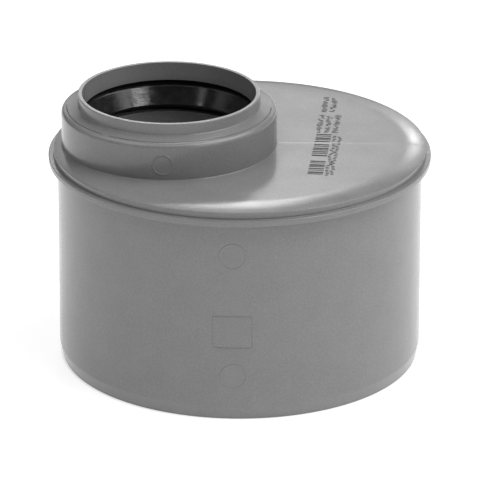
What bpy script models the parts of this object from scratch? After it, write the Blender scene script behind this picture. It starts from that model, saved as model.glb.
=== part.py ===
"""Eccentric pipe reducer in grey polypropylene, from a 110 mm spigot to a 50 mm push-fit socket.

It has two pieces: the body, which is one moulding, and the rubber seal ring in the socket's groove.
The origin is on the spigot's axis at its lower end. +Z points up to the socket, which is set off
towards -X so that both pipes run level along that side. The part is symmetric about the XZ plane.
"""

import math

import bpy
from mathutils import Matrix, Vector

MM = 0.001

# Spigot, which goes into the socket of the 110 mm pipe
SPIGOT_RADIUS = 55.0 * MM
SPIGOT_WALL = 2.7 * MM
SPIGOT_LENGTH = 62.7 * MM
SPIGOT_CHAMFER_WIDTH = 1.0 * MM
SPIGOT_CHAMFER_HEIGHT = 4.2 * MM

# Collar round the top of the spigot, which stops it against the pipe's socket
COLLAR_OVERHANG = 2.8 * MM
COLLAR_HEIGHT = 2.25 * MM
COLLAR_EDGE_FILLET = 0.3 * MM

# Cover that closes the spigot round the small socket
COVER_THICKNESS = 3.0 * MM
COVER_RISE = 2.4 * MM
COVER_SETBACK = 1.5 * MM
COVER_EDGE_HEIGHT = 1.2 * MM
COVER_SLOPE_WIDTH = 3.6 * MM
COVER_SLOPE_FILLET = 18.0 * MM
COVER_EDGE_FILLET = 0.5 * MM
COVER_INNER_FILLET = 2.0 * MM

# Socket, which takes the 50 mm pipe
PIPE_RADIUS = 25.0 * MM
PIPE_CLEARANCE = 0.3 * MM
SOCKET_EDGE_MARGIN = 2.5 * MM
SOCKET_DEPTH = 46.0 * MM
SOCKET_TUBE_WALL = 2.1 * MM
STOP_WIDTH = 2.1 * MM
STOP_THICKNESS = 2.5 * MM
TUBE_END_FILLET = 0.5 * MM

# Seal chamber, the widened top of the socket
GROOVE_WIDTH = 4.4 * MM
GROOVE_HEIGHT = 9.1 * MM
GROOVE_FLOOR_RISE = 0.3 * MM
GROOVE_FILLET = 0.5 * MM
CHAMBER_WALL = 2.8 * MM
CHAMBER_ROOF = 2.3 * MM
CHAMBER_ROOF_SLOPE = math.radians(15.0)
CHAMBER_EDGE_FILLET = 1.5 * MM

# Guide lip above the seal chamber
LIP_WALL = 2.2 * MM
LIP_HEIGHT = 3.6 * MM
LIP_OUTER_FILLET = 0.7 * MM
LIP_INNER_FILLET = 0.9 * MM
LIP_ROOT_FILLET = 0.4 * MM

# Seal ring
SEAL_GAP = 0.3 * MM
SEAL_HEEL_THICKNESS = 2.5 * MM
SEAL_CROWN_WIDTH = 3.2 * MM
SEAL_CROWN_STEP = 1.8 * MM
SEAL_SQUEEZE = 1.6 * MM
SEAL_LIP_DROP = 5.2 * MM
SEAL_TIP_THICKNESS = 0.9 * MM
SEAL_HOLLOW_HEIGHT = 4.6 * MM
SEAL_HEEL_FILLET = 0.5 * MM
SEAL_CROWN_FILLET = 0.6 * MM
SEAL_LIP_FILLET = 0.3 * MM
SEAL_HOLLOW_FILLET = 0.8 * MM

# Fineness of the turned shapes
SPIGOT_STEPS = 72
SOCKET_STEPS = 60
ARC_STEP = math.radians(30.0)
MERGE_DISTANCE = 0.01 * MM
SHARP_ANGLE = math.radians(32.0)
CUT_OVERSHOOT = 1.0 * MM

# Heights and radii that follow from the sizes above
COLLAR_TOP = SPIGOT_LENGTH + COLLAR_HEIGHT
COLLAR_RADIUS = SPIGOT_RADIUS + COLLAR_OVERHANG
COVER_TOP = COLLAR_TOP + COVER_RISE
COVER_RADIUS = COLLAR_RADIUS - COVER_SETBACK
SOCKET_BORE_RADIUS = PIPE_RADIUS + PIPE_CLEARANCE
TUBE_RADIUS = SOCKET_BORE_RADIUS + SOCKET_TUBE_WALL
LIP_RADIUS = SOCKET_BORE_RADIUS + LIP_WALL
GROOVE_RADIUS = SOCKET_BORE_RADIUS + GROOVE_WIDTH
GROOVE_FLOOR = COVER_TOP + GROOVE_FLOOR_RISE
CHAMBER_RADIUS = GROOVE_RADIUS + CHAMBER_WALL
SOCKET_OFFSET = COVER_RADIUS - SOCKET_EDGE_MARGIN - CHAMBER_RADIUS


def groove_roof(radius):
    """Height of the groove's sloping roof at a radius from the socket's axis."""
    return GROOVE_FLOOR + GROOVE_HEIGHT + (GROOVE_RADIUS - radius) * math.tan(CHAMBER_ROOF_SLOPE)


def chamber_top(radius):
    """Height of the chamber's outer shoulder, which runs parallel to the groove's roof."""
    return groove_roof(radius) + CHAMBER_ROOF


RIM_TOP = chamber_top(LIP_RADIUS) + LIP_HEIGHT
PIPE_STOP = RIM_TOP - SOCKET_DEPTH
TUBE_END = PIPE_STOP - STOP_THICKNESS


def clear_scene():
    """Remove every object, so that the model starts from an empty scene."""
    for item in list(bpy.data.objects):
        bpy.data.objects.remove(item, do_unlink=True)


def new_collection(name):
    """Add a collection to the scene."""
    collection = bpy.data.collections.new(name)
    bpy.context.scene.collection.children.link(collection)
    return collection


def new_material(name, colour, roughness):
    """Make a plain Principled material for a plastic or rubber piece."""
    material = bpy.data.materials.new(name)
    material.use_nodes = True
    shader = material.node_tree.nodes["Principled BSDF"]
    shader.inputs["Base Color"].default_value = (*colour, 1.0)
    shader.inputs["Roughness"].default_value = roughness
    shader.inputs["Metallic"].default_value = 0.0
    return material


def grey_polypropylene():
    """Slightly shiny grey plastic of the body."""
    return new_material("grey_polypropylene", (0.22, 0.22, 0.22), 0.35)


def black_rubber():
    """Shiny black rubber of the seal ring."""
    return new_material("black_rubber", (0.012, 0.012, 0.012), 0.3)


def corner_angle(before, corner, after):
    """Angle between the two sides that meet at a corner."""
    return (before - corner).angle(after - corner)


def corner_arc(before, corner, after, setback):
    """Points of the arc that rounds a corner, starting and ending at the setback from it."""
    to_before = (before - corner).normalized()
    to_after = (after - corner).normalized()
    half_angle = corner_angle(before, corner, after) / 2
    centre = corner + (to_before + to_after).normalized() * (setback / math.cos(half_angle))
    start = corner + to_before * setback - centre
    turn = math.pi - 2 * half_angle
    if to_before.cross(to_after) > 0:
        turn = -turn
    steps = max(1, math.ceil(abs(turn) / ARC_STEP))
    return [centre + Matrix.Rotation(turn * step / steps, 2) @ start for step in range(steps + 1)]


def rounded_outline(corners, closed=False):
    """Points of an outline given as (radius, height, fillet) corners, with each fillet as an arc.

    Where two fillets want more of a side than it has, they share it in proportion.
    """
    places = [Vector((radius, height)) for radius, height, _ in corners]
    count = len(places)
    setbacks = []
    for index, (_, _, fillet) in enumerate(corners):
        is_end = not closed and index in (0, count - 1)
        if fillet == 0 or is_end:
            setbacks.append(0.0)
        else:
            angle = corner_angle(places[index - 1], places[index], places[(index + 1) % count])
            setbacks.append(fillet / math.tan(angle / 2))
    points = []
    for index, (place, setback) in enumerate(zip(places, setbacks)):
        arc = [place]
        if setback > 0:
            neighbours = (index - 1, (index + 1) % count)
            for neighbour in neighbours:
                side = (places[neighbour] - place).length
                setback = min(setback, side * setbacks[index] / (setbacks[index] + setbacks[neighbour]))
            arc = corner_arc(places[neighbours[0]], place, places[neighbours[1]], setback)
        if points and (arc[0] - points[-1]).length < MERGE_DISTANCE:
            arc = arc[1:]
        points.extend(arc)
    return points


def turned(name, outline, steps, collection, closed=False):
    """Turn an outline about Z; it runs down the shape's outer side and back up its inner side."""
    count = len(outline)
    edges = [(index, index + 1) for index in range(count - 1)]
    if closed:
        edges.append((count - 1, 0))
    mesh = bpy.data.meshes.new(name)
    mesh.from_pydata([(point.x, 0.0, point.y) for point in outline], edges, [])
    piece = bpy.data.objects.new(name, mesh)
    collection.objects.link(piece)
    screw = piece.modifiers.new("Turn", "SCREW")
    screw.axis = "Z"
    screw.steps = steps
    screw.render_steps = steps
    screw.use_merge_vertices = True
    screw.merge_threshold = MERGE_DISTANCE
    return piece


def as_cutter(piece):
    """Show a helper shape as wires and keep it out of renders."""
    piece.display_type = "WIRE"
    piece.hide_render = True
    return piece


def combine(target, operation, tool):
    """Add an exact Boolean with a helper shape to the target."""
    boolean = target.modifiers.new(tool.name, "BOOLEAN")
    boolean.operation = operation
    boolean.object = tool
    boolean.solver = "EXACT"


def finish(piece, material):
    """Apply the piece's modifiers, shade it smooth with sharp edges, and give it its material."""
    evaluated = piece.evaluated_get(bpy.context.evaluated_depsgraph_get())
    mesh = bpy.data.meshes.new_from_object(evaluated)
    mesh.name = piece.name
    piece.modifiers.clear()
    piece.data = mesh
    mesh.materials.clear()
    mesh.materials.append(material)
    mesh.shade_smooth()
    mesh.set_sharp_from_angle(angle=SHARP_ANGLE)


def spigot_outline():
    """Half section of the spigot, its collar and the cover, before the socket is added."""
    inner_radius = SPIGOT_RADIUS - SPIGOT_WALL
    slope_start = COVER_RADIUS - COVER_SLOPE_WIDTH
    return rounded_outline([
        (0.0, COVER_TOP, 0.0),
        (slope_start, COVER_TOP, COVER_SLOPE_FILLET),
        (COVER_RADIUS, COLLAR_TOP + COVER_EDGE_HEIGHT, COVER_EDGE_FILLET),
        (COVER_RADIUS, COLLAR_TOP, 0.0),
        (COLLAR_RADIUS, COLLAR_TOP, COLLAR_EDGE_FILLET),
        (COLLAR_RADIUS, SPIGOT_LENGTH, COLLAR_EDGE_FILLET),
        (SPIGOT_RADIUS, SPIGOT_LENGTH, 0.0),
        (SPIGOT_RADIUS, SPIGOT_CHAMFER_HEIGHT, 0.0),
        (SPIGOT_RADIUS - SPIGOT_CHAMFER_WIDTH, 0.0, 0.0),
        (inner_radius, 0.0, 0.0),
        (inner_radius, COVER_TOP - COVER_THICKNESS, COVER_INNER_FILLET),
        (0.0, COVER_TOP - COVER_THICKNESS, 0.0),
    ])


def socket_outline():
    """Half section of the socket as a solid: lip, seal chamber, and the tube inside the spigot."""
    chamber_foot = COVER_TOP - COVER_THICKNESS / 2
    return rounded_outline([
        (0.0, RIM_TOP, 0.0),
        (LIP_RADIUS, RIM_TOP, LIP_OUTER_FILLET),
        (LIP_RADIUS, chamber_top(LIP_RADIUS), LIP_ROOT_FILLET),
        (CHAMBER_RADIUS, chamber_top(CHAMBER_RADIUS), CHAMBER_EDGE_FILLET),
        (CHAMBER_RADIUS, chamber_foot, 0.0),
        (TUBE_RADIUS, chamber_foot, 0.0),
        (TUBE_RADIUS, TUBE_END, TUBE_END_FILLET),
        (0.0, TUBE_END, 0.0),
    ])


def bore_outline():
    """Half section of the hollow of the socket: rounded mouth, seal groove, pipe seat and stop."""
    stop_radius = SOCKET_BORE_RADIUS - STOP_WIDTH
    mouth_radius = SOCKET_BORE_RADIUS + LIP_INNER_FILLET
    return rounded_outline([
        (0.0, RIM_TOP + CUT_OVERSHOOT, 0.0),
        (mouth_radius, RIM_TOP + CUT_OVERSHOOT, 0.0),
        (mouth_radius, RIM_TOP, 0.0),
        (SOCKET_BORE_RADIUS, RIM_TOP, LIP_INNER_FILLET),
        (SOCKET_BORE_RADIUS, groove_roof(SOCKET_BORE_RADIUS), 0.0),
        (GROOVE_RADIUS, groove_roof(GROOVE_RADIUS), GROOVE_FILLET),
        (GROOVE_RADIUS, GROOVE_FLOOR, GROOVE_FILLET),
        (SOCKET_BORE_RADIUS, GROOVE_FLOOR, 0.0),
        (SOCKET_BORE_RADIUS, PIPE_STOP, 0.0),
        (stop_radius, PIPE_STOP, 0.0),
        (stop_radius, TUBE_END - CUT_OVERSHOOT, 0.0),
        (0.0, TUBE_END - CUT_OVERSHOOT, 0.0),
    ])


def seal_outline():
    """Section of the seal ring: heel in the groove, sloping crown, and lip that leans inwards."""
    heel_radius = GROOVE_RADIUS - SEAL_GAP
    inner_radius = heel_radius - SEAL_HEEL_THICKNESS
    crown_radius = heel_radius - SEAL_CROWN_WIDTH
    shoulder_radius = (heel_radius + crown_radius) / 2
    bottom = GROOVE_FLOOR + SEAL_GAP
    lip_root = Vector((crown_radius, groove_roof(crown_radius) - SEAL_GAP - SEAL_CROWN_STEP))
    lip_tip = Vector((PIPE_RADIUS - SEAL_SQUEEZE, lip_root.y - SEAL_LIP_DROP))
    lip_line = (lip_tip - lip_root).normalized()
    tip_under = lip_tip + Vector((-lip_line.y, lip_line.x)) * SEAL_TIP_THICKNESS
    return rounded_outline([
        (lip_root.x, lip_root.y, SEAL_LIP_FILLET),
        (shoulder_radius, groove_roof(shoulder_radius) - SEAL_GAP, SEAL_CROWN_FILLET),
        (heel_radius, groove_roof(heel_radius) - SEAL_GAP, SEAL_CROWN_FILLET),
        (heel_radius, bottom, SEAL_HEEL_FILLET),
        (inner_radius, bottom, SEAL_HEEL_FILLET),
        (inner_radius, bottom + SEAL_HOLLOW_HEIGHT, SEAL_HOLLOW_FILLET),
        (tip_under.x, tip_under.y, SEAL_LIP_FILLET),
        (lip_tip.x, lip_tip.y, SEAL_LIP_FILLET),
    ], closed=True)


def reducer_body(parts, cutters):
    """The moulded body: spigot with cover and collar, the socket set off to one side, and its bore."""
    body = turned("reducer_body", spigot_outline(), SPIGOT_STEPS, parts)
    socket = as_cutter(turned("socket_blank", socket_outline(), SOCKET_STEPS, cutters))
    bore = as_cutter(turned("socket_bore", bore_outline(), SOCKET_STEPS, cutters))
    for tool, operation in ((socket, "UNION"), (bore, "DIFFERENCE")):
        tool.location.x = -SOCKET_OFFSET
        combine(body, operation, tool)
    finish(body, grey_polypropylene())


def seal_ring(parts):
    """The rubber ring that seals round the 50 mm pipe, lying free in the chamber's groove."""
    ring = turned("seal_ring", seal_outline(), SOCKET_STEPS, parts, closed=True)
    ring.location.x = -SOCKET_OFFSET
    finish(ring, black_rubber())


def main():
    """Build the reducer."""
    clear_scene()
    parts = new_collection("eccentric_pipe_reducer")
    cutters = new_collection("cutters")
    reducer_body(parts, cutters)
    seal_ring(parts)


main()
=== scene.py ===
"""Looks of the grey eccentric pipe reducer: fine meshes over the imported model, materials, light, camera.

Lengths are in metres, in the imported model's frame: the origin is on the spigot's axis at its lower end,
+Z is up and the small socket is set off towards -X.
"""

import math
import random

import bmesh
import bpy
from mathutils import Matrix, Vector


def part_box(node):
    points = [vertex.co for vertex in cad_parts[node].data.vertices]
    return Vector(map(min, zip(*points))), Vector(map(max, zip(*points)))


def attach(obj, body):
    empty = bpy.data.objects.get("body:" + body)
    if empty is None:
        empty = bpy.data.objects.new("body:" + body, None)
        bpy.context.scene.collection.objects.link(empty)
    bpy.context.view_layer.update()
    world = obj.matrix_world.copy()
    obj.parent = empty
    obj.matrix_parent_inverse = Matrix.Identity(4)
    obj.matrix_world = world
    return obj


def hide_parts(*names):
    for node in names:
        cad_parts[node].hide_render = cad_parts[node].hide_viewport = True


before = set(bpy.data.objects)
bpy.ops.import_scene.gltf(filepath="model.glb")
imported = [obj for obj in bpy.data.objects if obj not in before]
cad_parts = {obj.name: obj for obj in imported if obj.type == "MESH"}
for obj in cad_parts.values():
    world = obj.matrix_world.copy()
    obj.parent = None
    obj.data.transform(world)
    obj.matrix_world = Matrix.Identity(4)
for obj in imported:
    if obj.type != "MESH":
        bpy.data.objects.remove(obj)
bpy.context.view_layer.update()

MM = 0.001

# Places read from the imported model
BODY_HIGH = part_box("reducer_body")[1]
SEAL_LOW, SEAL_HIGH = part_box("seal_ring")
COLLAR_RADIUS = BODY_HIGH.x
RIM_TOP = BODY_HIGH.z
SOCKET_X = (SEAL_LOW.x + SEAL_HIGH.x) / 2
HEEL_RADIUS = (SEAL_HIGH.x - SEAL_LOW.x) / 2

# Sizes of the spigot, collar and cover
SPIGOT_RADIUS = 55.0 * MM
SPIGOT_WALL = 2.7 * MM
SPIGOT_LENGTH = 62.7 * MM
CHAMFER_WIDTH = 1.0 * MM
CHAMFER_HEIGHT = 4.2 * MM
COLLAR_TOP = SPIGOT_LENGTH + 1.8 * MM
COVER_RADIUS = COLLAR_RADIUS - 1.5 * MM
COVER_TOP = SPIGOT_LENGTH + 4.65 * MM
COVER_CURVE_WIDTH = 8.5 * MM
COVER_DROP = 0.8 * MM
COVER_EDGE_TOP = COVER_TOP - COVER_DROP
COVER_UNDERSIDE = COVER_TOP - 3.0 * MM

# Sizes of the socket
PIPE_RADIUS = 25.0 * MM
BORE_RADIUS = PIPE_RADIUS + 0.3 * MM
STOP_RADIUS = BORE_RADIUS - 2.1 * MM
TUBE_RADIUS = BORE_RADIUS + 2.1 * MM
LIP_RADIUS = BORE_RADIUS + 2.2 * MM
MOUTH_RADIUS = BORE_RADIUS + 0.9 * MM
ROOF_EDGE_RADIUS = BORE_RADIUS + 0.3 * MM
GROOVE_RADIUS = BORE_RADIUS + 4.4 * MM
CHAMBER_RADIUS = GROOVE_RADIUS + 2.8 * MM
PIPE_STOP = RIM_TOP - 46.0 * MM
TUBE_END = PIPE_STOP - 2.5 * MM
GROOVE_FLOOR = COVER_TOP + 0.3 * MM
GROOVE_ROOF = GROOVE_FLOOR + 9.1 * MM
ROOF_SLOPE = math.tan(math.radians(15.0))
ROOF_THICKNESS = 2.3 * MM

# Seal ring
SEAL_GAP = 0.3 * MM
SEAL_INNER_RADIUS = HEEL_RADIUS - 2.5 * MM
CROWN_RADIUS = HEEL_RADIUS - 3.2 * MM
CROWN_STEP = 1.8 * MM
TIP_RADIUS = PIPE_RADIUS - 1.6 * MM
SEAL_LIP_DROP = 5.2 * MM
TIP_THICKNESS = 0.9 * MM
HOLLOW_HEIGHT = 4.6 * MM

# Rounded edges of the body
SHARP_FILLET = 0.15 * MM
FOOT_FILLET = 0.25 * MM
EDGE_FILLET = 0.3 * MM
RIM_FILLET = 0.35 * MM
LIP_FOOT_FILLET = 0.4 * MM
GROOVE_FILLET = 0.5 * MM
SHOULDER_FILLET = 1.5 * MM
CHAMFER_FILLET = 1.5 * MM
COVER_INNER_FILLET = 2.0 * MM
COVER_FINE_EDGE = 0.65 * MM

# Rounded edges of the seal ring
SEAL_LIP_FILLET = 0.3 * MM
SEAL_FOOT_FILLET = 0.5 * MM
SEAL_CROWN_FILLET = 0.6 * MM
SEAL_HOLLOW_FILLET = 0.8 * MM

# Fine lines that the mould left; weights go by degrees from the parting plane, spans are in degrees
RIDGE_HEIGHT = 0.03 * MM
RIDGE_WEIGHTS = {0.0: 1.0, 0.2: 0.6, 0.45: 0.0}
WITNESS_RADIUS = 30.8 * MM
WITNESS_HALF_WIDTH = 0.17 * MM
WITNESS_DEPTH = 0.3 * MM
WITNESS_SPAN = (-179.0, -1.0)
WITNESS_BREAK = (-128.0, -124.0)
WITNESS_LOWEST = COVER_TOP + 5.0 * MM

# Thin raised beads on the walls: three round marks left by the mould and a square frame.
# A mark is (direction from the front, height, radius, rise), and a bead is (width, rise).
MARK_WIDTH = 0.65 * MM
SOCKET_MARK = (math.radians(-1.6), 72.2 * MM, 3.0 * MM, 0.16 * MM)
UPPER_MARK = (math.radians(-1.06), 52.2 * MM, 3.9 * MM, 0.075 * MM)
LOWER_MARK = (math.radians(-0.83), 13.97 * MM, 3.8 * MM, 0.1 * MM)
FRAME_MIDDLE = (math.radians(-0.92), 28.05 * MM)
FRAME_HALF_SIZE = (5.85 * MM, 5.0 * MM)
FRAME_BEAD = (0.6 * MM, 0.17 * MM)
BEAD_SECTION = (
    (-0.5, -0.5),
    (-0.42, 0.35),
    (-0.2, 0.85),
    (0.0, 1.0),
    (0.2, 0.85),
    (0.42, 0.35),
    (0.5, -0.5),
)
ROUND_MARK_STEPS = 72
FRAME_SIDE_STEPS = 12

# Ink on the cover: even bars, rows of short strokes and rows of dots.
# A bar group is (first place along, count), and a row is (place across, first place along, count).
INK_SEED = 5
INK_CORNER = (22.6 * MM, 0.0)
INK_TURN = math.radians(4.4)
INK_RISE = 0.012 * MM
BAR_LENGTH = 4.6 * MM
BAR_PITCH = 1.5 * MM
BAR_WIDTHS = (0.9 * MM, 0.6 * MM, 1.1 * MM, 0.7 * MM)
BAR_GROUPS = ((7.4 * MM, 5), (-1.2 * MM, 7), (-15.2 * MM, 8))
STROKE_WIDTH = 0.62 * MM
STROKE_PITCH = 1.12 * MM
STROKE_HEIGHT = 2.0 * MM
SHORTEST_STROKE = 0.35
STROKE_ROWS = (
    (-0.4 * MM, 26.4 * MM, 12),
    (2.2 * MM, 26.8 * MM, 11),
    (-0.6 * MM, 8.6 * MM, 14),
    (1.8 * MM, 8.8 * MM, 13),
    (4.4 * MM, 8.6 * MM, 14),
)
DOT_ROWS = ((4.7 * MM, -27.0 * MM, 26), (6.0 * MM, -26.2 * MM, 25))
DOT_PITCH = 1.3 * MM
DOT_HEIGHT = 1.0 * MM

# Range that a noise texture mostly stays in
NOISE_RANGE = (0.35, 0.65)

# Surface of the plastic
PLASTIC_GREY = 0.22
PLASTIC_DARK = 0.195
PLASTIC_LIGHT = 0.24
PLASTIC_ROUGHNESS = 0.19
ROUGHNESS_SPREAD = 0.02
CLOUD_SIZE = 8.0 * MM
CLOUD_SHARE = 0.3
GRAIN_SIZE = 0.5 * MM
GRAIN_SHARE = 0.7
GRAIN_DEPTH = 0.004 * MM
PEEL_SIZE = 3.2 * MM
PEEL_DEPTH = 0.013 * MM
SCRATCH_SIZE = 0.4 * MM
SCRATCH_STRETCH = (0.02, 1.0, 0.3)
SCRATCH_TURNS = (0.3, -1.1)
SCRATCH_RANGE = (0.66, 0.72)
SCRATCH_PALENESS = 0.1
SCRATCH_DULLNESS = 0.05
PATCH_SIZE = 14.0 * MM
PATCH_RANGE = (0.45, 0.65)

# Surface of the rubber, with lines that run round the ring
RUBBER_GREY = 0.012
RUBBER_DARK = 0.006
RUBBER_LIGHT = 0.02
RUBBER_SPECULAR = 0.65
RUBBER_ROUGHNESS = 0.18
RUBBER_LINE_STRETCH = 0.0012
RUBBER_LINE_SIZE = 0.35 * MM
RUBBER_LINE_DEPTH = 0.02 * MM
RUBBER_SMEAR_SIZE = 2.5 * MM
RUBBER_SMEAR_DEPTH = 0.02 * MM

# Surface of the ink
INK_PATCH_SIZE = 0.9 * MM
INK_GREY = 0.09
INK_DARK = 0.018
INK_LIGHT = 0.075
INK_SPECULAR = 0.2
INK_ROUGHNESS = (0.5, 0.7)

# Floor and light; a softbox is (name, azimuth, elevation, width, height, radiance), angles in degrees
FLOOR_SIZE = 12.0
FLOOR_PATCH_SIZE = 0.2
FLOOR_DARK = 0.52
FLOOR_LIGHT = 0.56
FLOOR_GLOW = 0.72
WORLD_STRENGTH = 0.04
LIGHT_DISTANCE = 3.0
SOFTBOXES = (
    ("overhead_right", 88.0, 60.0, 50.0, 28.0, 3.6),
    ("overhead_left", 272.0, 62.0, 50.0, 26.0, 1.4),
    ("overhead", 0.0, 90.0, 40.0, 40.0, 0.6),
    ("right", 93.0, 38.0, 44.0, 22.0, 2.4),
    ("left", 270.0, 36.0, 36.0, 26.0, 0.5),
    ("window", -4.4, 31.0, 10.0, 12.0, 6.5),
    ("above_window", 0.0, 44.0, 16.0, 12.0, 0.6),
    ("backdrop", 0.0, 18.0, 50.0, 20.0, 0.9),
    ("upper_window", 5.0, 54.0, 12.0, 8.0, 4.5),
    ("back_right", 6.8, 19.6, 2.5, 2.5, 17.0),
    ("front_high", 170.0, 66.0, 60.0, 16.0, 1.4),
    ("key", 136.0, 31.0, 21.0, 4.0, 14.0),
    ("front_left", 227.0, 30.0, 6.0, 6.0, 3.5),
)

# Fineness of the meshes
RING_STEP = 1.5
ARC_STEP = math.radians(18.0)
COVER_RINGS = 40
UNDERSIDE_RINGS = 4
FOOT_DEGREES = (0.0, 30.0, 60.0, 90.0)
MERGE_DISTANCE = 0.001 * MM

# Camera, fitted to the edges of the object in the photograph, whose side is 480 pixels.
# The point on the spigot's axis at AIM_HEIGHT falls on AIM_PIXEL.
PHOTO_SIZE = 480
SENSOR = 36.0
AZIMUTH = math.radians(1.064)
ELEVATION = math.radians(22.052)
ROLL = math.radians(0.056)
DISTANCE = 1.5
PIXELS_PER_METRE = 3288.4
AIM_HEIGHT = 40.0 * MM
AIM_PIXEL = (239.67, 225.94)
CLIP_RANGE = (0.1, 50.0)


def corner_arc(before, corner, after, setback):
    """Points of the arc that rounds a corner, starting and ending at the setback from it."""
    to_before = (before - corner).normalized()
    to_after = (after - corner).normalized()
    half_angle = to_before.angle(to_after) / 2
    centre = corner + (to_before + to_after).normalized() * (setback / math.cos(half_angle))
    start = corner + to_before * setback - centre
    turn = math.pi - 2 * half_angle
    if to_before.cross(to_after) > 0:
        turn = -turn
    steps = max(1, math.ceil(abs(turn) / ARC_STEP))
    return [centre + Matrix.Rotation(turn * step / steps, 2) @ start for step in range(steps + 1)]


def rounded_outline(corners, closed=False):
    """Points of an outline given as (radius, height, fillet) corners, with each fillet as an arc."""
    places = [Vector((radius, height)) for radius, height, _ in corners]
    count = len(places)
    points = []
    for index, (_, _, fillet) in enumerate(corners):
        before = places[index - 1]
        after = places[(index + 1) % count]
        arc = [places[index]]
        if fillet > 0 and (closed or 0 < index < count - 1):
            angle = (before - places[index]).angle(after - places[index])
            arc = corner_arc(before, places[index], after, fillet / math.tan(angle / 2))
        if points and (arc[0] - points[-1]).length < MERGE_DISTANCE:
            arc = arc[1:]
        points.extend(arc)
    return points


def ring_angles():
    """Degrees round a ring: even steps, with close ones beside the parting plane at 0 and 180."""
    count = round(360 / RING_STEP)
    angles = {index * RING_STEP for index in range(count)}
    for plane in (0.0, 180.0):
        for offset in RIDGE_WEIGHTS:
            angles.add((plane + offset) % 360)
            angles.add((plane - offset) % 360)
    return sorted(angles)


ANGLES = ring_angles()


def ring(radius, height, centre_x):
    """Points of a level circle."""
    return [
        Vector((
            centre_x + radius * math.cos(math.radians(angle)),
            radius * math.sin(math.radians(angle)),
            height,
        ))
        for angle in ANGLES
    ]


def rings(outline, centre_x):
    """Circles for each point of an outline."""
    return [ring(point.x, point.y, centre_x) for point in outline]


def cover_height(radius):
    """Height of the cover at a radius from the spigot's axis: flat, then curving down to the edge."""
    along = max(0.0, radius - COVER_RADIUS + COVER_CURVE_WIDTH)
    return COVER_TOP - COVER_DROP * (along / COVER_CURVE_WIDTH) ** 2


def roof_height(radius):
    """Height of the groove's roof at a radius from the socket's axis."""
    return GROOVE_ROOF + (GROOVE_RADIUS - radius) * ROOF_SLOPE


def shoulder_height(radius):
    """Height of the chamber's shoulder at a radius from the socket's axis."""
    return roof_height(radius) + ROOF_THICKNESS


def bore_rings():
    """Inside of the socket, from the foot of the pipe stop up to the rim."""
    return rings(rounded_outline([
        (STOP_RADIUS, TUBE_END + 1.0 * MM, 0.0),
        (STOP_RADIUS, PIPE_STOP, EDGE_FILLET),
        (BORE_RADIUS, PIPE_STOP, SHARP_FILLET),
        (BORE_RADIUS, GROOVE_FLOOR, EDGE_FILLET),
        (GROOVE_RADIUS, GROOVE_FLOOR, GROOVE_FILLET),
        (GROOVE_RADIUS, GROOVE_ROOF, GROOVE_FILLET),
        (ROOF_EDGE_RADIUS, roof_height(BORE_RADIUS) - 0.3 * MM, EDGE_FILLET),
        (ROOF_EDGE_RADIUS + 0.05 * MM, roof_height(BORE_RADIUS) + 0.8 * MM, 0.0),
    ]), SOCKET_X)


def mouth_rings():
    """Rounded rim of the guide lip and its outside, down to the fillet on the shoulder."""
    root = shoulder_height(LIP_RADIUS)
    middle = (LIP_RADIUS + WITNESS_RADIUS) / 2
    return rings(rounded_outline([
        (ROOF_EDGE_RADIUS + 0.1 * MM, roof_height(BORE_RADIUS) + 1.6 * MM, 0.0),
        (MOUTH_RADIUS, RIM_TOP, SHARP_FILLET),
        (LIP_RADIUS, RIM_TOP, RIM_FILLET),
        (LIP_RADIUS, root, LIP_FOOT_FILLET),
        (middle, shoulder_height(middle), 0.0),
    ]), SOCKET_X)


def shoulder_rings():
    """Sloping shoulder of the seal chamber, with closer circles at the witness line, and its wall."""
    near = WITNESS_RADIUS - 2 * WITNESS_HALF_WIDTH
    beyond = WITNESS_RADIUS + 2 * WITNESS_HALF_WIDTH
    inner = WITNESS_RADIUS - WITNESS_HALF_WIDTH
    outer = WITNESS_RADIUS + WITNESS_HALF_WIDTH
    line = [Vector((radius, shoulder_height(radius))) for radius in (near, inner, WITNESS_RADIUS, outer)]
    edge = rounded_outline([
        (beyond, shoulder_height(beyond), 0.0),
        (CHAMBER_RADIUS, shoulder_height(CHAMBER_RADIUS), SHOULDER_FILLET),
        (CHAMBER_RADIUS, COVER_TOP + 4.0 * MM, 0.0),
    ])
    return rings(line + edge, SOCKET_X)


def foot_rings():
    """Small fillet where the chamber's wall meets the cover."""
    made = []
    for degrees in FOOT_DEGREES:
        turn = math.radians(degrees)
        foot = []
        for point in ring(CHAMBER_RADIUS + FOOT_FILLET * (1 - math.cos(turn)), 0.0, SOCKET_X):
            height = cover_height(point.xy.length) + FOOT_FILLET * (1 - math.sin(turn))
            foot.append(Vector((point.x, point.y, height)))
        made.append(foot)
    return made


def blend_rings(inner, outer_radius, height_at, count):
    """Circles between an off-centre inner circle and a circle round the spigot's axis."""
    made = []
    for index in range(1, count):
        share = 1 - (1 - index / count) ** 2
        between = []
        for point, degrees in zip(inner, ANGLES):
            radius = point.xy.length
            start = math.atan2(point.y, point.x)
            turn = (math.radians(degrees) - start + math.pi) % (2 * math.pi) - math.pi
            radius += (outer_radius - radius) * share
            angle = start + turn * share
            between.append(Vector((
                radius * math.cos(angle),
                radius * math.sin(angle),
                height_at(radius),
            )))
        made.append(between)
    return made


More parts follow.
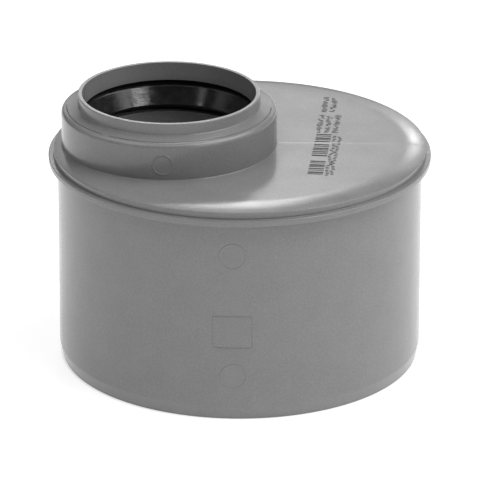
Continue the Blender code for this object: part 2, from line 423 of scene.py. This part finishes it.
def spigot_rings():
    """Edge of the cover, collar, spigot wall outside and inside, up to the cover's underside."""
    start = COVER_RADIUS - COVER_FINE_EDGE
    inside = SPIGOT_RADIUS - SPIGOT_WALL
    return rings(rounded_outline([
        (start, cover_height(start), 0.0),
        (COVER_RADIUS, COVER_EDGE_TOP, EDGE_FILLET),
        (COVER_RADIUS, COLLAR_TOP, SHARP_FILLET),
        (COLLAR_RADIUS, COLLAR_TOP, EDGE_FILLET),
        (COLLAR_RADIUS, SPIGOT_LENGTH, EDGE_FILLET),
        (SPIGOT_RADIUS, SPIGOT_LENGTH, SHARP_FILLET),
        (SPIGOT_RADIUS, CHAMFER_HEIGHT, CHAMFER_FILLET),
        (SPIGOT_RADIUS - CHAMFER_WIDTH, 0.0, SHARP_FILLET),
        (inside, 0.0, SHARP_FILLET),
        (inside, COVER_UNDERSIDE, COVER_INNER_FILLET),
        (inside - 3.0 * MM, COVER_UNDERSIDE, 0.0),
    ]), 0.0)


def tube_rings():
    """Outside of the socket's tube within the spigot, from the cover's underside to its end."""
    return rings(rounded_outline([
        (TUBE_RADIUS + 1.0 * MM, COVER_UNDERSIDE, 0.0),
        (TUBE_RADIUS, COVER_UNDERSIDE, GROOVE_FILLET),
        (TUBE_RADIUS, TUBE_END, GROOVE_FILLET),
        (STOP_RADIUS, TUBE_END, EDGE_FILLET),
        (STOP_RADIUS, TUBE_END + 0.9 * MM, 0.0),
    ]), SOCKET_X)


def loft(bm, loops):
    """Join closed loops of equal length, each to the next and the last to the first, with quads."""
    rows = [[bm.verts.new(point) for point in loop] for loop in loops]
    for row, following in zip(rows, rows[1:] + rows[:1]):
        for index in range(len(row)):
            after = (index + 1) % len(row)
            bm.faces.new((row[index], row[after], following[after], following[index]))
    return rows


def body_loops():
    """All circles of the body in order, and the number of the first and last that the ridge crosses."""
    foot = foot_rings()
    spigot = spigot_rings()
    tube = tube_rings()
    inside = bore_rings() + mouth_rings()
    outside = shoulder_rings() + foot
    rim_radius = spigot[0][0].x
    cover = blend_rings(foot[-1], rim_radius, cover_height, COVER_RINGS)
    underside = blend_rings(tube[0], spigot[-1][0].x, lambda radius: COVER_UNDERSIDE, UNDERSIDE_RINGS)
    loops = inside + outside + cover + spigot + underside[::-1] + tube
    return loops, len(inside), len(inside) + len(outside) + len(cover)


def raise_parting_line(rows, first, last):
    """Raise the fine ridge that the two halves of the mould left in the plane through both axes."""
    for row in rows[first:last]:
        for vertex, degrees in zip(row, ANGLES):
            offset = round(min(degrees % 180, -degrees % 180), 6)
            if offset in RIDGE_WEIGHTS:
                vertex.co += vertex.normal * RIDGE_HEIGHT * RIDGE_WEIGHTS[offset]


def sharpen(bm, row):
    """Keep a crisp edge along a closed row of vertices."""
    for vertex, after in zip(row, row[1:] + row[:1]):
        bm.edges.get((vertex, after)).smooth = False


def press_witness_line(bm, rows):
    """Press in the line that an insert of the mould left on the front of the chamber's shoulder."""
    for row in rows:
        from_line = abs((row[0].co.xy - Vector((SOCKET_X, 0.0))).length - WITNESS_RADIUS)
        if row[0].co.z < WITNESS_LOWEST or from_line > 1.5 * WITNESS_HALF_WIDTH:
            continue
        sharpen(bm, row)
        if from_line > WITNESS_HALF_WIDTH / 2:
            continue
        for vertex, degrees in zip(row, ANGLES):
            angle = degrees - 360
            in_span = WITNESS_SPAN[0] < angle < WITNESS_SPAN[1]
            in_break = WITNESS_BREAK[0] < angle < WITNESS_BREAK[1]
            if in_span and not in_break:
                vertex.co -= vertex.normal * WITNESS_DEPTH


def finish_mesh(piece, bm, material):
    """Write a mesh to a piece, smooth it with weighted normals and give it its material."""
    bmesh.ops.recalc_face_normals(bm, faces=bm.faces)
    for face in bm.faces:
        face.smooth = True
    bm.to_mesh(piece.data)
    bm.free()
    piece.data.materials.append(material)
    weights = piece.modifiers.new("Even shading", "WEIGHTED_NORMAL")
    weights.mode = "FACE_AREA"
    weights.keep_sharp = True


def new_piece(name):
    """Add a mesh piece that belongs to the part."""
    piece = bpy.data.objects.new(name, bpy.data.meshes.new(name))
    bpy.context.scene.collection.objects.link(piece)
    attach(piece, "root")
    return piece


def body_shell(material):
    """The moulded body as one fine skin, with the mould's parting line and witness line."""
    loops, first, last = body_loops()
    bm = bmesh.new()
    rows = loft(bm, loops)
    bmesh.ops.recalc_face_normals(bm, faces=bm.faces)
    bm.normal_update()
    raise_parting_line(rows, first, last)
    press_witness_line(bm, rows)
    piece = new_piece("body_shell")
    finish_mesh(piece, bm, material)
    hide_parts("reducer_body")
    return piece


def seal_outline():
    """Section of the seal ring: heel in the groove, sloping crown, and lip that leans inwards."""
    shoulder_radius = (HEEL_RADIUS + CROWN_RADIUS) / 2
    bottom = GROOVE_FLOOR + SEAL_GAP
    root = Vector((CROWN_RADIUS, roof_height(CROWN_RADIUS) - SEAL_GAP - CROWN_STEP))
    tip = Vector((TIP_RADIUS, root.y - SEAL_LIP_DROP))
    lip_line = (tip - root).normalized()
    tip_under = tip + Vector((-lip_line.y, lip_line.x)) * TIP_THICKNESS
    return rounded_outline([
        (root.x, root.y, SEAL_LIP_FILLET),
        (shoulder_radius, roof_height(shoulder_radius) - SEAL_GAP, SEAL_CROWN_FILLET),
        (HEEL_RADIUS, roof_height(HEEL_RADIUS) - SEAL_GAP, SEAL_CROWN_FILLET),
        (HEEL_RADIUS, bottom, SEAL_FOOT_FILLET),
        (SEAL_INNER_RADIUS, bottom, SEAL_FOOT_FILLET),
        (SEAL_INNER_RADIUS, bottom + HOLLOW_HEIGHT, SEAL_HOLLOW_FILLET),
        (tip_under.x, tip_under.y, SEAL_LIP_FILLET),
        (tip.x, tip.y, SEAL_LIP_FILLET),
    ], closed=True)


def seal(material):
    """The rubber seal ring in its groove."""
    bm = bmesh.new()
    loft(bm, rings(seal_outline(), SOCKET_X))
    piece = new_piece("rubber_seal")
    finish_mesh(piece, bm, material)
    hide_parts("seal_ring")
    return piece


def on_wall(centre_x, radius, middle, along, height, rise):
    """Point above a round wall, at an arc length from its middle direction, counted from the front."""
    angle = middle + along / radius
    reach = radius + rise
    return Vector((centre_x + reach * math.sin(angle), -reach * math.cos(angle), height))


def raised_bead(bm, centre_x, radius, middle, path, width, rise):
    """A closed thin bead on a round wall; its path has (along, height, sideways) places."""
    loops = []
    for along, height, sideways in path:
        loop = []
        for across, up in BEAD_SECTION:
            place = Vector((along, height)) + sideways * (across * width)
            loop.append(on_wall(centre_x, radius, middle, place.x, place.y, up * rise))
        loops.append(loop)
    loft(bm, loops)


def round_path(height, size):
    """Places round a circular mark on a wall."""
    path = []
    for index in range(ROUND_MARK_STEPS):
        angle = 2 * math.pi * index / ROUND_MARK_STEPS
        sideways = Vector((math.cos(angle), math.sin(angle)))
        path.append((size * sideways.x, height + size * sideways.y, sideways))
    return path


def square_path(height, half_width, half_height):
    """Places round a square frame on a wall, mitred at its corners."""
    path = []
    for turn in range(4):
        outward = Matrix.Rotation(turn * math.pi / 2, 2) @ Vector((1.0, 0.0))
        onward = Matrix.Rotation(math.pi / 2, 2) @ outward
        for index in range(FRAME_SIDE_STEPS):
            share = 2 * index / FRAME_SIDE_STEPS - 1
            unit = outward + onward * share
            sideways = outward if index else outward - onward
            path.append((half_width * unit.x, height + half_height * unit.y, sideways))
    return path


def moulded_marks(material):
    """Round marks left by the mould's pins, and a square frame on the front of the spigot."""
    bm = bmesh.new()
    marks = (
        (SOCKET_X, CHAMBER_RADIUS, SOCKET_MARK),
        (0.0, SPIGOT_RADIUS, UPPER_MARK),
        (0.0, SPIGOT_RADIUS, LOWER_MARK),
    )
    for centre_x, radius, (middle, height, size, rise) in marks:
        raised_bead(bm, centre_x, radius, middle, round_path(height, size), MARK_WIDTH, rise)
    middle, height = FRAME_MIDDLE
    width, rise = FRAME_BEAD
    raised_bead(bm, 0.0, SPIGOT_RADIUS, middle, square_path(height, *FRAME_HALF_SIZE), width, rise)
    finish_mesh(new_piece("moulded_marks"), bm, material)


def ink_patch(bm, across, along, length, width):
    """A thin rectangle of ink on the cover, given in the marking's own turned directions."""
    corners = []
    for u, v in ((0, 0), (length, 0), (length, width), (0, width)):
        x = across + u
        y = along + v
        corners.append(Vector((
            INK_CORNER[0] + x * math.cos(INK_TURN) + y * math.sin(INK_TURN),
            INK_CORNER[1] + y * math.cos(INK_TURN) - x * math.sin(INK_TURN),
            COVER_TOP,
        )))
    top = [bm.verts.new(corner + Vector((0.0, 0.0, INK_RISE))) for corner in corners]
    low = [bm.verts.new(corner - Vector((0.0, 0.0, INK_RISE))) for corner in corners]
    bm.faces.new(top)
    bm.faces.new(low[::-1])
    for index in range(4):
        after = (index + 1) % 4
        bm.faces.new((top[index], low[index], low[after], top[after]))


def ink_marking(material):
    """Ink on the cover: even bars, rows of short strokes and rows of dots."""
    draw = random.Random(INK_SEED)
    bm = bmesh.new()
    for first, count in BAR_GROUPS:
        for index in range(count):
            width = BAR_WIDTHS[index % len(BAR_WIDTHS)]
            ink_patch(bm, 0.0, first - index * BAR_PITCH - width, BAR_LENGTH, width)
    for across, first, count in STROKE_ROWS:
        for index in range(count):
            height = STROKE_HEIGHT * draw.uniform(SHORTEST_STROKE, 1.0)
            shift = (STROKE_HEIGHT - height) * draw.random()
            ink_patch(bm, across + shift, first + index * STROKE_PITCH, height, STROKE_WIDTH)
    for across, first, count in DOT_ROWS:
        for index in range(count):
            shift = DOT_HEIGHT * draw.random()
            ink_patch(bm, across + shift, first + index * DOT_PITCH, DOT_HEIGHT, STROKE_WIDTH)
    finish_mesh(new_piece("ink_marking"), bm, material)


def new_material(name, colour, roughness):
    """Material that starts from one grey and roughness; gives it, its node tree and its shader."""
    material = bpy.data.materials.new(name)
    material.use_nodes = True
    shader = material.node_tree.nodes["Principled BSDF"]
    shader.inputs["Base Color"].default_value = (colour, colour, colour, 1.0)
    shader.inputs["Roughness"].default_value = roughness
    return material, material.node_tree, shader


def add_node(tree, kind, values=(), **settings):
    """Add a node with its settings and the values of its inputs, which go by name or number."""
    node = tree.nodes.new(kind)
    for name, value in settings.items():
        setattr(node, name, value)
    for socket, value in dict(values).items():
        node.inputs[socket].default_value = value
    return node


def object_place(tree, scale=(1.0, 1.0, 1.0), turn=0.0):
    """Place on the object in metres, stretched along the axes after a turn about Z."""
    place = add_node(tree, "ShaderNodeTexCoord")
    turned = add_node(tree, "ShaderNodeMapping", {"Rotation": (0.0, 0.0, turn), "Scale": scale})
    tree.links.new(place.outputs["Object"], turned.inputs["Vector"])
    return turned.outputs["Vector"]


def noise(tree, place, size, detail=2.0):
    """Noise with features of a size in metres."""
    texture = add_node(tree, "ShaderNodeTexNoise", {"Scale": 1.0 / size, "Detail": detail})
    tree.links.new(place, texture.inputs["Vector"])
    return texture.outputs[0]


def spread(tree, value, low, high, to_low, to_high):
    """Map a value from one range to another, held at the ends."""
    ranged = add_node(tree, "ShaderNodeMapRange", {1: low, 2: high, 3: to_low, 4: to_high})
    tree.links.new(value, ranged.inputs[0])
    return ranged.outputs[0]


def calculate(tree, operation, first, second):
    """Join two values, of which the second may be a number."""
    node = add_node(tree, "ShaderNodeMath", operation=operation)
    tree.links.new(first, node.inputs[0])
    if isinstance(second, float):
        node.inputs[1].default_value = second
    else:
        tree.links.new(second, node.inputs[1])
    return node.outputs[0]


def tint(tree, shader, share, dark, light):
    """Colour the surface between a dark and a light grey, the mix node's colour inputs 6 and 7."""
    greys = {6: (dark, dark, dark, 1.0), 7: (light, light, light, 1.0)}
    mix = add_node(tree, "ShaderNodeMix", greys, data_type="RGBA")
    tree.links.new(share, mix.inputs[0])
    tree.links.new(mix.outputs[2], shader.inputs["Base Color"])


def emboss(tree, shader, layers):
    """Bend the surface's normal by layers of (height, depth in metres)."""
    normal = None
    for height, depth in layers:
        bump = add_node(tree, "ShaderNodeBump", {"Strength": 1.0, "Distance": depth})
        tree.links.new(height, bump.inputs["Height"])
        if normal:
            tree.links.new(normal, bump.inputs["Normal"])
        normal = bump.outputs["Normal"]
    tree.links.new(normal, shader.inputs["Normal"])


def scratches(tree, turn):
    """Fine straight scratches, long one way and thin the other, in a few patches."""
    lines = noise(tree, object_place(tree, SCRATCH_STRETCH, turn), SCRATCH_SIZE, 1.0)
    patches = noise(tree, object_place(tree), PATCH_SIZE, 1.0)
    thin = spread(tree, lines, *SCRATCH_RANGE, 0.0, 1.0)
    return calculate(tree, "MULTIPLY", thin, spread(tree, patches, *PATCH_RANGE, 0.0, 1.0))


def grey_plastic():
    """Moulded grey polypropylene: faint clouds, fine grain, an orange peel and light scratches."""
    material, tree, shader = new_material("grey_plastic", PLASTIC_GREY, PLASTIC_ROUGHNESS)
    place = object_place(tree)
    clouds = noise(tree, place, CLOUD_SIZE, 3.0)
    grain = noise(tree, place, GRAIN_SIZE, 2.0)
    peel = noise(tree, place, PEEL_SIZE, 1.0)
    marks = calculate(tree, "MAXIMUM", *[scratches(tree, turn) for turn in SCRATCH_TURNS])
    soft_shade = calculate(tree, "MULTIPLY", clouds, CLOUD_SHARE)
    fine_shade = calculate(tree, "MULTIPLY", grain, GRAIN_SHARE)
    shade = calculate(tree, "ADD", soft_shade, fine_shade)
    share = spread(tree, shade, *NOISE_RANGE, 0.0, 0.8)
    share = calculate(tree, "ADD", share, calculate(tree, "MULTIPLY", marks, SCRATCH_PALENESS))
    tint(tree, shader, share, PLASTIC_DARK, PLASTIC_LIGHT)
    smoothest = PLASTIC_ROUGHNESS - ROUGHNESS_SPREAD
    roughest = PLASTIC_ROUGHNESS + ROUGHNESS_SPREAD
    rough = spread(tree, clouds, *NOISE_RANGE, smoothest, roughest)
    rough = calculate(tree, "ADD", rough, calculate(tree, "MULTIPLY", marks, SCRATCH_DULLNESS))
    tree.links.new(rough, shader.inputs["Roughness"])
    emboss(tree, shader, ((peel, PEEL_DEPTH), (grain, GRAIN_DEPTH)))
    return material


def black_rubber():
    """Greased black rubber, with fine lines round the ring from its turning on the pipe."""
    material, tree, shader = new_material("black_seal_rubber", RUBBER_GREY, RUBBER_ROUGHNESS)
    centred = add_node(tree, "ShaderNodeMapping", {"Location": (-SOCKET_X, 0.0, 0.0)})
    source = add_node(tree, "ShaderNodeTexCoord")
    tree.links.new(source.outputs["Object"], centred.inputs["Vector"])
    parts = add_node(tree, "ShaderNodeSeparateXYZ")
    tree.links.new(centred.outputs["Vector"], parts.inputs[0])
    turn = calculate(tree, "ARCTAN2", parts.outputs[1], parts.outputs[0])
    round_place = add_node(tree, "ShaderNodeCombineXYZ")
    tree.links.new(calculate(tree, "MULTIPLY", turn, RUBBER_LINE_STRETCH), round_place.inputs[0])
    tree.links.new(parts.outputs[2], round_place.inputs[2])
    lines = noise(tree, round_place.outputs[0], RUBBER_LINE_SIZE, 3.0)
    smears = noise(tree, object_place(tree), RUBBER_SMEAR_SIZE, 3.0)
    shader.inputs["Specular IOR Level"].default_value = RUBBER_SPECULAR
    tint(tree, shader, smears, RUBBER_DARK, RUBBER_LIGHT)
    rough = spread(tree, smears, 0.35, 0.7, RUBBER_ROUGHNESS - 0.04, RUBBER_ROUGHNESS + 0.08)
    tree.links.new(rough, shader.inputs["Roughness"])
    emboss(tree, shader, ((lines, RUBBER_LINE_DEPTH), (smears, RUBBER_SMEAR_DEPTH)))
    return material


def dark_ink():
    """Thin dark ink, unevenly printed on the plastic."""
    material, tree, shader = new_material("dark_ink", INK_GREY, INK_ROUGHNESS[0])
    patches = noise(tree, object_place(tree), INK_PATCH_SIZE, 3.0)
    tint(tree, shader, spread(tree, patches, *NOISE_RANGE, 0.0, 1.0), INK_DARK, INK_LIGHT)
    shader.inputs["Specular IOR Level"].default_value = INK_SPECULAR
    tree.links.new(spread(tree, patches, 0.3, 0.7, *INK_ROUGHNESS), shader.inputs["Roughness"])
    return material


def photo_camera():
    """Camera at the photograph's viewpoint."""
    back = Vector((
        math.sin(AZIMUTH) * math.cos(ELEVATION),
        -math.cos(AZIMUTH) * math.cos(ELEVATION),
        math.sin(ELEVATION),
    ))
    level_right = Vector((0.0, 0.0, 1.0)).cross(back).normalized()
    level_up = back.cross(level_right)
    right = level_right * math.cos(ROLL) + level_up * math.sin(ROLL)
    up = level_up * math.cos(ROLL) - level_right * math.sin(ROLL)
    aside = (AIM_PIXEL[0] - PHOTO_SIZE / 2) / PIXELS_PER_METRE
    above = (AIM_PIXEL[1] - PHOTO_SIZE / 2) / PIXELS_PER_METRE
    place = Vector((0.0, 0.0, AIM_HEIGHT)) + back * DISTANCE - right * aside + up * above
    data = bpy.data.cameras.new("photo_camera")
    data.sensor_width = SENSOR
    data.lens = SENSOR * DISTANCE * PIXELS_PER_METRE / PHOTO_SIZE
    data.clip_start = CLIP_RANGE[0]
    data.clip_end = CLIP_RANGE[1]
    camera = bpy.data.objects.new("photo_camera", data)
    camera.matrix_world = Matrix.Translation(place) @ Matrix((right, up, back)).transposed().to_4x4()
    bpy.context.scene.collection.objects.link(camera)
    bpy.context.scene.camera = camera


def pale_floor():
    """Wide pale floor, slightly uneven in tone, that glows a little except inside the spigot."""
    bpy.ops.mesh.primitive_plane_add(size=FLOOR_SIZE, location=(0.0, 0.0, 0.0))
    floor = bpy.context.object
    floor.name = "studio_floor"
    material, tree, shader = new_material("pale_floor", 0.9, 0.9)
    shader.inputs["Specular IOR Level"].default_value = 0.0
    shader.inputs["Emission Color"].default_value = (1.0, 1.0, 1.0, 1.0)
    from_middle = add_node(tree, "ShaderNodeVectorMath", operation="LENGTH")
    tree.links.new(object_place(tree), from_middle.inputs[0])
    radius = from_middle.outputs["Value"]
    glow = spread(tree, radius, SPIGOT_RADIUS - SPIGOT_WALL, SPIGOT_RADIUS, 0.0, FLOOR_GLOW)
    tree.links.new(glow, shader.inputs["Emission Strength"])
    tint(tree, shader, noise(tree, object_place(tree), FLOOR_PATCH_SIZE, 2.0), FLOOR_DARK, FLOOR_LIGHT)
    floor.data.materials.append(material)


def softbox(name, azimuth, elevation, width, height, radiance):
    """Area light in a direction from the part, with its width and height as angles in degrees.

    The azimuth is 0 straight behind the part and grows to the right.
    """
    around = math.radians(azimuth)
    up = math.radians(elevation)
    direction = Vector((math.sin(around) * math.cos(up), math.cos(around) * math.cos(up), math.sin(up)))
    data = bpy.data.lights.new(name, "AREA")
    data.shape = "RECTANGLE"
    data.size = 2 * LIGHT_DISTANCE * math.tan(math.radians(width / 2))
    data.size_y = 2 * LIGHT_DISTANCE * math.tan(math.radians(height / 2))
    data.energy = radiance * math.pi * data.size * data.size_y
    lamp = bpy.data.objects.new(name, data)
    lamp.location = direction * LIGHT_DISTANCE + Vector((0.0, 0.0, AIM_HEIGHT))
    lamp.rotation_euler = direction.to_track_quat("Z", "Y").to_euler()
    lamp.visible_camera = False
    bpy.context.scene.collection.objects.link(lamp)


def studio():
    """Pale floor, a dim even surround, and softboxes."""
    pale_floor()
    for box in SOFTBOXES:
        softbox(*box)
    world = bpy.data.worlds.new("soft_white")
    world.use_nodes = True
    world.node_tree.nodes["Background"].inputs["Color"].default_value = (1.0, 1.0, 1.0, 1.0)
    world.node_tree.nodes["Background"].inputs["Strength"].default_value = WORLD_STRENGTH
    bpy.context.scene.world = world
    bpy.context.scene.view_settings.view_transform = "Standard"


photo_camera()
PLASTIC = grey_plastic()
body_shell(PLASTIC)
moulded_marks(PLASTIC)
ink_marking(dark_ink())
seal(black_rubber())
studio()
